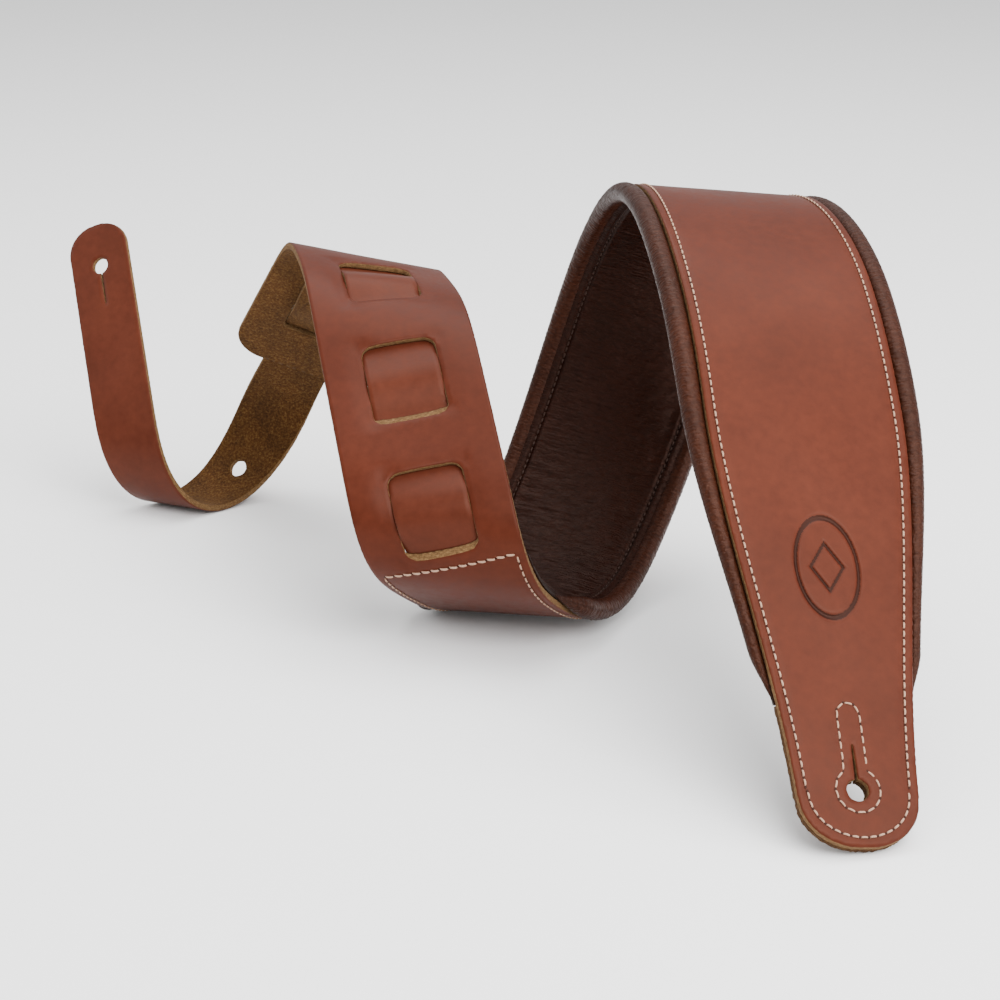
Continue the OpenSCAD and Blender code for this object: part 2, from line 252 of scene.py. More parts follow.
# ---------------------------------------------------------------- seeded unevenness
def wobble(u, v, seed, size):
    """Smooth unevenness in [-1, 1] with features of about the given size in millimetres."""
    rng = np.random.default_rng(seed)
    u, v = np.broadcast_arrays(np.asarray(u, float), np.asarray(v, float))
    total = np.zeros_like(u)
    for _ in range(7):
        angle, phase = rng.uniform(0, 2 * np.pi, 2)
        scale = 2 * np.pi / (size * rng.uniform(0.7, 1.6))
        total = total + np.sin((u * np.cos(angle) + v * np.sin(angle)) * scale + phase)
    return total / 4


# ---------------------------------------------------------------- mesh making
def new_object(name, verts, faces, materials, face_slots=None, uvs=None, smooth=True):
    mesh = bpy.data.meshes.new(name)
    mesh.from_pydata([tuple(p) for p in verts], [], [tuple(f) for f in faces])
    for m in materials:
        mesh.materials.append(m)
    if face_slots is not None:
        mesh.polygons.foreach_set("material_index", np.asarray(face_slots, np.int32))
    mesh.polygons.foreach_set("use_smooth", np.full(len(mesh.polygons), smooth))
    if uvs is not None:
        layer = mesh.uv_layers.new(name="flat")
        index = np.empty(len(mesh.loops), np.int32)
        mesh.loops.foreach_get("vertex_index", index)
        layer.data.foreach_set("uv", (np.asarray(uvs, float)[index] * MM * 10).ravel())
    mesh.update()
    obj = bpy.data.objects.new(name, mesh)
    bpy.context.scene.collection.objects.link(obj)
    return obj


def loop_area(loop):
    x, y = loop[:, 0], loop[:, 1]
    return 0.5 * np.sum(x * np.roll(y, -1) - y * np.roll(x, -1))


def offset_loop(loop, d):
    """The closed outline moved by d to the side that its material lies on."""
    ahead = np.roll(loop, -1, 0) - np.roll(loop, 1, 0)
    ahead /= np.linalg.norm(ahead, axis=1, keepdims=True) + 1e-12
    return loop + d * np.stack([-ahead[:, 1], ahead[:, 0]], 1)


def resample(loop, gap):
    """The closed outline at even steps, with a whole number of them."""
    closed = np.vstack([loop, loop[:1]])
    run = np.concatenate([[0], np.cumsum(np.linalg.norm(np.diff(closed, axis=0), axis=1))])
    n = max(8, int(round(run[-1] / gap)))
    at = np.linspace(0, run[-1], n, endpoint=False)
    return np.stack([np.interp(at, run, closed[:, 0]), np.interp(at, run, closed[:, 1])], 1)


def rounded_box(u0, u1, v0, v1, r, bow=0.0):
    """A rectangular opening with round corners and slightly bowed sides."""
    points = []
    for cu, cv, start in ((u1 - r, v1 - r, 0), (u0 + r, v1 - r, 90), (u0 + r, v0 + r, 180), (u1 - r, v0 + r, 270)):
        for a in np.radians(np.linspace(start, start + 90, 9)):
            points.append((cu + r * math.cos(a), cv + r * math.sin(a)))
    loop = resample(np.array(points), 0.9)
    mid_v, half = (v0 + v1) / 2, (v1 - v0) / 2
    loop[:, 0] += bow * np.sign(loop[:, 0] - (u0 + u1) / 2) * (1 - np.clip(abs(loop[:, 1] - mid_v) / half, 0, 1) ** 2)
    return loop


def hole_loop(cu, cv, r, slit=0.0, direction=1):
    """A round hole, with a thin slit on one side when slit is not zero."""
    angles = np.linspace(0, 2 * np.pi, 56, endpoint=False)
    ring = np.stack([cu + r * np.cos(angles), cv + r * np.sin(angles)], 1)
    if not slit:
        return ring
    gap = math.asin(SLIT_HALF / r)
    angles = np.linspace(gap, 2 * np.pi - gap, 56)
    ring = np.stack([r * np.cos(angles), r * np.sin(angles)], 1)
    run = np.linspace(r + 0.6, r + slit, 16)
    width = SLIT_HALF * np.sqrt(np.clip((r + slit + 0.2 - run) / slit, 0.02, 1))
    slot = np.concatenate([np.stack([run, -width], 1), np.stack([run, width], 1)[::-1]])
    loop = np.concatenate([ring, slot])
    loop[:, 0] *= direction
    loop = loop if direction > 0 else loop[::-1]
    return loop + np.array([cu, cv])


def plate(name, outline, holes, low, high, materials, grid=2.2, bevel=0.35, shape=None, edge_rough=0.12, seed=1,
          detail=None, flare=None):
    """A sheet of leather: grain face at low(u, v), inner face at high(u, v), rounded edges.

    outline and holes are closed flat loops. The wall has seven rings, and the rim of each
    face is worn round by bevel. materials are grain, inner side and cut edge."""
    loops = []
    for n, loop in enumerate([outline] + holes):
        wanted = loop_area(loop) > 0
        loops.append(loop if wanted == (n == 0) else loop[::-1])
    # interior points of both faces
    low_uv, high_uv = outline.min(0), outline.max(0)
    us = np.arange(low_uv[0] + 0.7, high_uv[0], grid)
    vs = np.arange(low_uv[1] + 0.7, high_uv[1], grid)
    pu, pv = [a.ravel() for a in np.meshgrid(us, vs, indexing="ij")]
    pu = pu + 0.12 * grid * np.sin(pv * 1.7)
    if detail:
        (u0, u1, v0, v1), fine = detail
        out = (pu < u0) | (pu > u1) | (pv < v0) | (pv > v1)
        fu, fv = [a.ravel() for a in np.meshgrid(np.arange(u0, u1, fine), np.arange(v0, v1, fine), indexing="ij")]
        pu, pv = np.concatenate([pu[out], fu]), np.concatenate([pv[out], fv])
    keep = np.ones(len(pu), bool)
    inner = [offset_loop(loop, bevel) for loop in loops]
    for n, loop in enumerate(inner):
        inside = np.zeros(len(pu), bool)
        nxt = np.roll(loop, -1, 0)
        for (x0, y0), (x1, y1) in zip(loop, nxt):
            crosses = (y0 > pv) != (y1 > pv)
            if y1 != y0:
                inside ^= crosses & (pu < (x1 - x0) * (pv - y0) / (y1 - y0) + x0)
        keep &= inside if n == 0 else ~inside
        for start in range(0, len(loop), 200):
            part = loop[start:start + 200]
            near = ((pu[keep, None] - part[:, 0]) ** 2 + (pv[keep, None] - part[:, 1]) ** 2).min(1)
            index = np.flatnonzero(keep)
            keep[index[near < (0.45 * grid) ** 2]] = False
    points = [Vector(p) for loop in inner for p in loop]
    edges, at = [], 0
    for loop in inner:
        edges += [(at + i, at + (i + 1) % len(loop)) for i in range(len(loop))]
        at += len(loop)
    points += [Vector(p) for p in np.stack([pu[keep], pv[keep]], 1)]
    flat, _, tris, _, _, _ = delaunay_2d_cdt(points, edges, [], 0, 1e-6)
    flat = np.array([tuple(p) for p in flat])
    middle = np.array([flat[list(t)].mean(0) for t in tris])
    good = np.ones(len(tris), bool)
    for n, loop in enumerate(inner):
        inside = np.zeros(len(tris), bool)
        for (x0, y0), (x1, y1) in zip(loop, np.roll(loop, -1, 0)):
            crosses = (y0 > middle[:, 1]) != (y1 > middle[:, 1])
            if y1 != y0:
                inside ^= crosses & (middle[:, 0] < (x1 - x0) * (middle[:, 1] - y0) / (y1 - y0) + x0)
        good &= inside if n == 0 else ~inside
    tris = [t for t, g in zip(tris, good) if g]
    shape = shape or (lambda u, v: np.zeros_like(u))
    grain = low(flat[:, 0], flat[:, 1]) + shape(flat[:, 0], flat[:, 1])
    back = high(flat[:, 0], flat[:, 1])
    n = len(flat)
    verts = [place(flat[:, 0], flat[:, 1], grain), place(flat[:, 0], flat[:, 1], back)]
    uvs = [flat, flat]
    faces = [tuple(t) for t in tris] + [(a + n, c + n, b + n) for a, b, c in tris]
    # Faces deep in the pressed mark's grooves take slot 3, a much darker grain: partly the burnished pressing, partly
    # painted shade of the grooves.
    front = [3 if detail and pressed_mark(*flat[list(t)].mean(0)) > 0.34 else 0 for t in tris]
    slots = front + [1] * len(tris)
    # walls
    profile = [(0.3, 0.12), (0.06, 0.3), (0.0, 0.5), (0.06, 0.7), (0.3, 0.88)]
    at, base = 0, 2 * n
    for loop, rim in zip(loops, inner):
        m = len(loop)
        ids = np.arange(at, at + m)
        rings = [ids]
        run = np.concatenate([[0], np.cumsum(np.linalg.norm(np.diff(loop, axis=0), axis=1))])
        for k, (pull, depth) in enumerate(profile):
            rough = edge_rough * wobble(run, 40.0 * k, seed + k, 2.3)
            ring = offset_loop(loop, bevel * pull) + (offset_loop(loop, 1.0) - loop) * rough[:, None]
            if flare:
                ring = ring + depth * flare(loop)
            lo_w = low(loop[:, 0], loop[:, 1]) + shape(rim[:, 0], rim[:, 1])
            hi_w = high(loop[:, 0], loop[:, 1])
            verts.append(place(ring[:, 0], ring[:, 1], lo_w * (1 - depth) + hi_w * depth))
            uvs.append(np.stack([run, 2000 + depth * 3.0 + 0 * run], 1))
            rings.append(base + np.arange(m))
            base += m
        rings.append(ids + n)
        for k in range(len(rings) - 1):
            p, q = rings[k], rings[k + 1]
            for i in range(m):
                j = (i + 1) % m
                faces.append((p[j], p[i], q[i], q[j]))
                slots.append(2 if 0 < k < len(rings) - 2 else (0 if k == 0 else 2))
        at += m
    return new_object(name, np.concatenate(verts), faces, materials, slots, np.concatenate(uvs))


def tube(name, rings, uvs, materials):
    """A closed solid swept through rings of equal length; rings is (m, n, 3)."""
    m, n, _ = rings.shape
    verts = rings.reshape(-1, 3)
    faces = []
    for i in range(m - 1):
        a = i * n
        faces += [(a + j, a + n + j, a + n + (j + 1) % n, a + (j + 1) % n) for j in range(n)]
    faces.append(tuple(range(n)))
    faces.append(tuple((m - 1) * n + j for j in range(n - 1, -1, -1)))
    return new_object(name, verts, faces, materials, None, uvs.reshape(-1, 2))


# ---------------------------------------------------------------- materials
def material(name):
    m = bpy.data.materials.new(name)
    m.use_nodes = True
    m.node_tree.nodes.clear()
    out = m.node_tree.nodes.new("ShaderNodeOutputMaterial")
    shader = m.node_tree.nodes.new("ShaderNodeBsdfPrincipled")
    m.node_tree.links.new(shader.outputs["BSDF"], out.inputs["Surface"])
    return m, m.node_tree, shader


def add(tree, kind, values=None, **settings):
    node = tree.nodes.new(kind)
    for key, value in settings.items():
        setattr(node, key, value)
    for key, value in (values or {}).items():
        node.inputs[key].default_value = value
    return node


def coordinates(tree, kind="Object"):
    return add(tree, "ShaderNodeTexCoord").outputs[kind]


def noise(tree, where, scale, detail=3.0, roughness=0.5):
    node = add(tree, "ShaderNodeTexNoise", {"Scale": scale, "Detail": detail, "Roughness": roughness})
    tree.links.new(where, node.inputs["Vector"])
    return node.outputs["Fac"]


def ramp(tree, value, stops):
    node = add(tree, "ShaderNodeValToRGB")
    tree.links.new(value, node.inputs["Fac"])
    elements = node.color_ramp.elements
    elements[0].position, elements[0].color = stops[0][0], (*stops[0][1], 1)
    elements[1].position, elements[1].color = stops[-1][0], (*stops[-1][1], 1)
    for position, colour in stops[1:-1]:
        elements.new(position).color = (*colour, 1)
    return node.outputs["Color"]


def mix(tree, factor, a, b, blend="MIX"):
    node = add(tree, "ShaderNodeMix", data_type="RGBA", blend_type=blend)
    for socket, value in (("Factor", factor), ("A", a), ("B", b)):
        target = [s for s in node.inputs if s.name == socket and s.enabled][0]
        if isinstance(value, (int, float)):
            target.default_value = value
        elif isinstance(value, tuple):
            target.default_value = (*value, 1)
        else:
            tree.links.new(value, target)
    return [s for s in node.outputs if s.name == "Result" and s.enabled][0]


def spread(tree, value, low, high):
    node = add(tree, "ShaderNodeMapRange", {"From Min": 0.3, "From Max": 0.7, "To Min": low, "To Max": high})
    tree.links.new(value, node.inputs["Value"])
    return node.outputs["Result"]


def bump_chain(tree, shader, layers):
    """Stacks bumps; each layer is (height socket, strength, distance in metres)."""
    last = None
    for height, strength, distance in layers:
        node = add(tree, "ShaderNodeBump", {"Strength": strength, "Distance": distance})
        tree.links.new(height, node.inputs["Height"])
        if last is not None:
            tree.links.new(last, node.inputs["Normal"])
        last = node.outputs["Normal"]
    tree.links.new(last, shader.inputs["Normal"])


def grain_leather(name, dark, mid, light):
    """Smooth vegetable-tanned grain: fine pores, faint mottling and a waxy satin sheen."""
    m, tree, shader = material(name)
    where = coordinates(tree)
    broad = noise(tree, where, 22, 4, 0.55)
    fine = noise(tree, where, 260, 4, 0.6)
    pores = noise(tree, where, 2300, 2, 0.5)
    colour = ramp(tree, broad, [(0.3, dark), (0.5, mid), (0.72, light)])
    speck = ramp(tree, fine, [(0.3, (0.86, 0.84, 0.82)), (0.7, (1.08, 1.08, 1.08))])
    tree.links.new(mix(tree, 1.0, colour, speck, "MULTIPLY"), shader.inputs["Base Color"])
    tree.links.new(spread(tree, fine, 0.36, 0.44), shader.inputs["Roughness"])
    shader.inputs["Specular IOR Level"].default_value = 0.13
    shader.inputs["Specular Tint"].default_value = (1.0, 0.70, 0.58, 1)
    bump_chain(tree, shader, [(broad, 0.10, 0.0010), (fine, 0.10, 0.0003), (pores, 0.12, 0.0001)])
    return m


def suede(name, dark, mid, light):
    """The fibrous inner side of the hide: short nap in clumps, lighter fibre ends."""
    m, tree, shader = material(name)
    where = coordinates(tree)
    broad = noise(tree, where, 70, 5, 0.65)
    nap = noise(tree, where, 900, 5, 0.7)
    fibre = noise(tree, where, 2600, 3, 0.7)
    colour = ramp(tree, nap, [(0.32, dark), (0.5, mid), (0.68, light)])
    cloud = ramp(tree, broad, [(0.3, (0.72, 0.7, 0.68)), (0.7, (1.2, 1.2, 1.2))])
    tree.links.new(mix(tree, 1.0, colour, cloud, "MULTIPLY"), shader.inputs["Base Color"])
    shader.inputs["Roughness"].default_value = 0.95
    shader.inputs["Specular IOR Level"].default_value = 0.15
    shader.inputs["Sheen Weight"].default_value = 0.06
    shader.inputs["Sheen Roughness"].default_value = 0.5
    shader.inputs["Sheen Tint"].default_value = (0.75, 0.6, 0.4, 1)
    bump_chain(tree, shader, [(broad, 0.25, 0.001), (nap, 0.75, 0.0006), (fibre, 0.5, 0.0002)])
    return m


def cut_edge(name, dark, mid, light):
    """A raw cut edge: layered tan fibres along the thickness."""
    m, tree, shader = material(name)
    where = coordinates(tree, "UV")
    stretch = add(tree, "ShaderNodeMapping", {"Scale": (1.0, 5.0, 1.0)})
    tree.links.new(where, stretch.inputs["Vector"])
    fibre = noise(tree, stretch.outputs["Vector"], 60, 5, 0.7)
    chunk = noise(tree, coordinates(tree), 700, 4, 0.7)
    colour = ramp(tree, fibre, [(0.3, dark), (0.5, mid), (0.72, light)])
    patch = ramp(tree, chunk, [(0.35, (0.62, 0.56, 0.5)), (0.65, (1.15, 1.12, 1.1))])
    tree.links.new(mix(tree, 1.0, colour, patch, "MULTIPLY"), shader.inputs["Base Color"])
    shader.inputs["Roughness"].default_value = 0.9
    shader.inputs["Specular IOR Level"].default_value = 0.2
    bump_chain(tree, shader, [(chunk, 0.6, 0.0006), (fibre, 0.6, 0.0004)])
    return m


def garment_leather(name, dark, mid, light, wrinkle):
    """Soft pebbled leather with fine wrinkles across the strap."""
    m, tree, shader = material(name)
    where = coordinates(tree)
    flat = coordinates(tree, "UV")
    cells = add(tree, "ShaderNodeTexVoronoi", {"Scale": 62.0}, feature="SMOOTH_F1")
    warp = add(tree, "ShaderNodeTexNoise", {"Scale": 30.0, "Detail": 3.0})
    tree.links.new(flat, warp.inputs["Vector"])
    long = add(tree, "ShaderNodeMapping", {"Scale": (1.7, 0.8, 1.0)})
    tree.links.new(flat, long.inputs["Vector"])
    bend = add(tree, "ShaderNodeVectorMath", operation="MULTIPLY_ADD")
    bend.inputs[1].default_value = (0.03, 0.03, 0.0)
    tree.links.new(warp.outputs["Color"], bend.inputs[0])
    tree.links.new(long.outputs["Vector"], bend.inputs[2])
    tree.links.new(bend.outputs["Vector"], cells.inputs["Vector"])
    pull = add(tree, "ShaderNodeMapping", {"Scale": (4.2, 0.7, 1.0)})
    tree.links.new(flat, pull.inputs["Vector"])
    folds = noise(tree, pull.outputs["Vector"], 14, 5, 0.62)
    broad = noise(tree, where, 45, 4, 0.6)
    fine = noise(tree, where, 1800, 3, 0.6)
    colour = ramp(tree, cells.outputs["Distance"], [(0.1, light), (0.45, mid), (0.8, dark)])
    cloud = ramp(tree, broad, [(0.3, (0.8, 0.8, 0.8)), (0.7, (1.2, 1.18, 1.15))])
    tree.links.new(mix(tree, 1.0, colour, cloud, "MULTIPLY"), shader.inputs["Base Color"])
    tree.links.new(spread(tree, cells.outputs["Distance"], 0.34, 0.46), shader.inputs["Roughness"])
    shader.inputs["Specular IOR Level"].default_value = 0.16
    shader.inputs["Specular Tint"].default_value = (1.0, 0.66, 0.54, 1)
    invert = add(tree, "ShaderNodeMath", {1: -1.0}, operation="MULTIPLY")
    tree.links.new(cells.outputs["Distance"], invert.inputs[0])
    bump_chain(tree, shader, [(folds, wrinkle, 0.0012), (invert.outputs[0], 0.55, 0.0006), (fine, 0.15, 0.0001)])
    return m


def thread_material(name, low, high):
    """Twisted waxed thread: fine noise gives its strands two tones."""
    m, tree, shader = material(name)
    where = coordinates(tree)
    strands = noise(tree, where, 3200, 3, 0.6)
    tree.links.new(ramp(tree, strands, [(0.3, low), (0.7, high)]), shader.inputs["Base Color"])
    shader.inputs["Roughness"].default_value = 0.62
    shader.inputs["Specular IOR Level"].default_value = 0.35
    bump_chain(tree, shader, [(strands, 0.6, 0.0002)])
    return m


def foam_material():
    m, tree, shader = material("foam")
    cells = noise(tree, coordinates(tree), 1500, 3, 0.6)
    tree.links.new(ramp(tree, cells, [(0.3, (0.5, 0.48, 0.42)), (0.7, (0.66, 0.64, 0.58))]),
                   shader.inputs["Base Color"])
    shader.inputs["Roughness"].default_value = 0.95
    bump_chain(tree, shader, [(cells, 0.7, 0.0004)])
    return m


GRAIN = grain_leather("main_grain", (0.051, 0.0098, 0.0042), (0.060, 0.0118, 0.0052), (0.070, 0.0144, 0.0064))
TAIL_GRAIN = grain_leather("tail_grain", (0.056, 0.0122, 0.0058), (0.067, 0.0147, 0.0070), (0.078, 0.0180, 0.0086))
SUEDE = suede("suede_side", (0.029, 0.0100, 0.0019), (0.063, 0.0250, 0.0054), (0.120, 0.060, 0.0170))
EDGE = cut_edge("tan_edge", (0.050, 0.024, 0.008), (0.130, 0.071, 0.027), (0.235, 0.145, 0.066))
SUEDE_EDGE = cut_edge("suede_edge", (0.018, 0.0075, 0.0025), (0.060, 0.027, 0.009), (0.14, 0.075, 0.028))
# Darker grain: on the deepest faces of the pressed mark it is partly the burnished pressing and partly painted shade
# of the grooves; on the discs over the needle holes it is painted shade of the holes.
PRESSED_GRAIN_AND_SHADE = grain_leather("pressed_grain_and_painted_shade", (0.013, 0.0024, 0.0010), (0.017, 0.0032, 0.0013), (0.022, 0.0042, 0.0018))
LINING = garment_leather("lining", (0.0062, 0.0011, 0.0003), (0.0098, 0.0018, 0.0006), (0.0125, 0.0025, 0.0009), 0.8)
ROLL = garment_leather("roll", (0.014, 0.0030, 0.0011), (0.022, 0.0053, 0.0021), (0.029, 0.0078, 0.0034), 0.6)
PALE = thread_material("pale_thread", (0.24, 0.125, 0.075), (0.42, 0.27, 0.19))
BROWN = thread_material("brown_thread", (0.018, 0.006, 0.003), (0.045, 0.018, 0.010))
FOAM = foam_material()
LEATHERS = [GRAIN, SUEDE, EDGE, PRESSED_GRAIN_AND_SHADE]


# ---------------------------------------------------------------- stitches
def seam(path, pitch, name, grain_w, inward, matter, width=0.8, share=0.80, rise=0.42, slant=0.0, bite=0.35,
         needle=PRESSED_GRAIN_AND_SHADE):
    """One mesh of separate stitches along a flat path; each dives into its needle holes.

    path is (n, 2); inward is -1 above the grain side and +1 above the inner side. Returns
    the object and the needle holes as flat points."""
    run = np.concatenate([[0], np.cumsum(np.linalg.norm(np.diff(path, axis=0), axis=1))])
    count = max(2, int(round(run[-1] / pitch)))
    at = np.linspace(0, run[-1], count + 1)
    knots = np.stack([np.interp(at, run, path[:, 0]), np.interp(at, run, path[:, 1])], 1)
    verts, faces, uvs, hole_shade_faces = [], [], [], []
    sides, steps = 8, 9
    for i in range(count):
        a, b = knots[i], knots[i + 1]
        along = (b - a) / (np.linalg.norm(b - a) + 1e-9)
        across = np.array([-along[1], along[0]])
        mid = (a + b) / 2
        reach = np.linalg.norm(b - a) * share / 2
        s = np.linspace(-1, 1, steps)
        dip = 1 - abs(s) ** 3.2
        centre = mid + s[:, None] * reach * along + s[:, None] * slant * across
        radius = width / 2 * (0.60 + 0.40 * np.sqrt(np.clip(1 - s ** 2, 0, 1)))
        height = -bite + (rise + bite - width * 0.25) * dip
        angle = np.linspace(0, 2 * np.pi, sides, endpoint=False)
        side = centre[:, None, :] + (radius[:, None] * np.cos(angle))[..., None] * across
        w = grain_w(side[..., 0], side[..., 1]) + inward * (height[:, None] + radius[:, None] * np.sin(angle) * 0.8)
        start = sum(len(x) for x in verts)
        verts.append(place(side[..., 0], side[..., 1], w).reshape(-1, 3))
        uvs.append(side.reshape(-1, 2))
        for k in range(steps - 1):
            p = start + k * sides
            for j in range(sides):
                face = (p + j, p + sides + j, p + sides + (j + 1) % sides, p + (j + 1) % sides)
                faces.append(face if inward > 0 else face[::-1])
        # A flat dark disc of the darker grain sits just over each needle hole: painted shade of the hole.
        if needle is not None:
            hole_at = sum(len(x) for x in verts)
            rim = a + 0.62 * np.cos(angle)[:, None] * along + 0.40 * np.sin(angle)[:, None] * across
            rim = np.vstack([rim, a])
            w = grain_w(rim[:, 0], rim[:, 1]) + inward * 0.03
            verts.append(place(rim[:, 0], rim[:, 1], w))
            uvs.append(rim)
            for j in range(sides):
                face = (hole_at + j, hole_at + (j + 1) % sides, hole_at + sides)
                faces.append(face if inward > 0 else face[::-1])
                hole_shade_faces.append(len(faces) - 1)
        first = tuple(start + j for j in range(sides))
        last = tuple(start + (steps - 1) * sides + j for j in range(sides - 1, -1, -1))
        faces.append(first if inward > 0 else first[::-1])
        faces.append(last if inward > 0 else last[::-1])
    slots = np.zeros(len(faces), int)
    slots[hole_shade_faces] = 1
    looks = [matter] if needle is None else [matter, needle]
    return new_object(name, np.concatenate(verts), faces, looks, slots, np.concatenate(uvs)), knots


def dimples(u, v, holes, depth, radius):
    """How far the leather dips at the flat points (u, v) near the needle holes."""
    u, v = np.asarray(u, float), np.asarray(v, float)
    dip = np.zeros(u.shape)
    flat_u, flat_v, flat_d = u.ravel(), v.ravel(), dip.ravel()
    order = np.argsort(flat_u)
    for hu, hv in holes:
        lo = np.searchsorted(flat_u[order], hu - 3 * radius)
        hi = np.searchsorted(flat_u[order], hu + 3 * radius)
        near = order[lo:hi]
        d2 = (flat_u[near] - hu) ** 2 + (flat_v[near] - hv) ** 2
        flat_d[near] = np.maximum(flat_d[near], depth * np.exp(-d2 / radius ** 2))
    return flat_d.reshape(u.shape)


def inset(u):
    return half_at(u) - ROW_INSET


TAB_TURN = 20.0


def row_path(side, start, end):
    u = np.arange(start, end, 2.0)
    return np.stack([u, side * inset(u)], 1)


def tab_path():
    a = np.radians(np.linspace(-90, 90, 60))
    reach = TAB_TURN - ROW_INSET + 0.5
    return np.stack([TAB_TURN + 0.5 - reach * np.cos(a) ** 0.92, (TAB_HALF - ROW_INSET) * np.sin(a)], 1)


KEY_R, LEG_HALF, LEG_END = 8.4, 4.3, 54.0


def keyhole_path():
    neck = math.asin(LEG_HALF / KEY_R)
    a = np.linspace(neck, 2 * np.pi - neck, 50)
    ring = np.stack([TAB_HOLE + KEY_R * np.cos(a), KEY_R * np.sin(a)], 1)
    lower = np.stack([np.arange(30, 49, 1.0), np.full(19, -LEG_HALF)], 1)
    b = np.radians(np.linspace(-80, 80, 16))
    end = np.stack([LEG_END - LEG_HALF + LEG_HALF * np.cos(b), LEG_HALF * np.sin(b)], 1)
    return np.concatenate([ring, lower, end, lower[::-1] * np.array([1, -1])])


def grain_low(u, v):
    return np.full(np.shape(u), -HALF)


def stitch_base(u, v):
    return grain_low(u, v)


row_l, holes_l = seam(row_path(-1, TAB_TURN + 2, PAD_TO + 3), 3.4, "stitches_left", stitch_base, -1, PALE)
row_r, holes_r = seam(row_path(1, TAB_TURN + 2, PAD_TO + 3), 3.4, "stitches_right", stitch_base, -1, PALE)
row_t, holes_t = seam(tab_path(), 3.4, "stitches_tab", stitch_base, -1, PALE)
row_k, holes_k = seam(keyhole_path(), 3.9, "stitches_keyhole", stitch_base, -1, PALE, 0.75)
end_v = np.linspace(-inset(671.0) + 0.6, inset(671.0) - 0.6, 40)
row_e, holes_e = seam(np.stack([np.full(40, PAD_TO + 3), end_v], 1), 4.0, "stitches_pad_end", stitch_base, -1,
                      PALE, 1.05, 0.86, 0.5, 0.35)
NEEDLE = np.concatenate([holes_l, holes_r, holes_t, holes_k, holes_e])


# ---------------------------------------------------------------- leather shapes
MARK_U, MARK_HALF_U, MARK_HALF_V = 107.0, 20.0, 12.0


def groove(distance, width, depth):
    return depth * np.exp(-(distance / width) ** 2)


def pressed_mark(u, v):
    """A plain pressed mark: an oval ring round a small lozenge."""
    a, b = (u - MARK_U) / MARK_HALF_U, v / MARK_HALF_V
    ring = (np.sqrt(a * a + b * b) - 1) * MARK_HALF_V
    lozenge = (abs(a) * 2.1 + abs(b) * 1.9 - 1) * 5.2
    return groove(ring, 0.75, 0.75) + groove(lozenge, 0.65, 0.70)


def opening_dent(u, v):
    """The leather sinks a little along the openings' sides."""
    dent = np.zeros(np.shape(u))
    for c in OPENINGS:
        along = np.clip(1 - (abs(u - c) / (OPENING_LEN / 2 + 6)) ** 4, 0, 1)
        for side in (-1, 1):
            dent += 0.5 * along * np.exp(-((v - side * OPENING_HALF) / 5) ** 2) * (2.2 if side < 0 else 0.7)
        for end in (-1, 1):
            dent += 0.25 * np.exp(-((u - c - end * OPENING_LEN / 2) / 3) ** 2) * (abs(v) < OPENING_HALF + 3)
    return dent


def channel(u, v):
    """The stitched rows pull the leather down into a shallow channel."""
    pull = np.where(u < TAB_TURN, 0, groove(abs(v) - inset(u), 1.3, 0.16)) * (u < PAD_TO + 3)
    return pull


def body_shape(u, v):
    u, v = np.asarray(u, float), np.asarray(v, float)
    shape = pressed_mark(u, v) + opening_dent(u, v) + channel(u, v)
    shape += dimples(u, v, NEEDLE, 0.35, 0.6)
    return shape + 0.10 * wobble(u, v, 11, 38)


def inner_high(u, v):
    return np.full(np.shape(u), HALF) + 0.05 * wobble(u, v, 5, 3)


def body_outline():
    u = np.concatenate([TAB_ROUND * (1 - np.cos(np.linspace(0, np.pi / 2, 40))) ** 1.0,
                        np.arange(TAB_ROUND + 1, STRAP_LEN - FLAP_ROUND, 1.0),
                        STRAP_LEN - FLAP_ROUND * (1 - np.sin(np.linspace(0, np.pi / 2, 24)))])
    u = np.unique(np.round(u, 4))
    v = half_at(u)
    loop = np.concatenate([np.stack([u, -v], 1), np.stack([u, v], 1)[::-1]])
    return resample(loop, 1.0)


LIP_LEAN = (3.2, 5.0, 0.0)
LIP_OUT = (1.0, 3.0, 0.0)


def lip(loop):
    """Where the tail pushes up past an opening's low end, the cut wall leans into view."""
    lean = np.zeros(loop.shape)
    for c in OPENINGS:
        low_end = c - OPENING_LEN / 2 - LIP_OUT[OPENINGS.index(c)]
        near = np.clip(1 - abs(loop[:, 0] - low_end) / 4.5, 0, 1) * (abs(loop[:, 1]) < OPENING_HALF + 1)
        lean[:, 0] += LIP_LEAN[OPENINGS.index(c)] * near
        side = np.clip(1 - abs(loop[:, 1] - OPENING_HALF) / 1.5, 0, 1) * (abs(loop[:, 0] - c) < OPENING_LEN / 2)
        lean[:, 1] -= 0.35 * side
    return lean


def main_strap():
    holes = [hole_loop(TAB_HOLE, 0, HOLE_R, SLIT_LEN)]
    for c, out in zip(OPENINGS, LIP_OUT):
        holes.append(rounded_box(c - OPENING_LEN / 2 - out, c + OPENING_LEN / 2, -OPENING_HALF, OPENING_HALF,
                                 OPENING_ROUND, 0.35))
    holes.append(rounded_box(EXIT_FROM, EXIT_TO, -EXIT_HALF, EXIT_HALF + 1.8, 2.0))
    obj = plate("main_strap", body_outline(), holes, grain_low, inner_high, LEATHERS, 1.5, 0.4, body_shape, 0.1, 3,
                ((MARK_U - 23, MARK_U + 23, -15, 15), 0.45), lip)
    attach(obj, "root")
    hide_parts("outer_leather")
    return obj


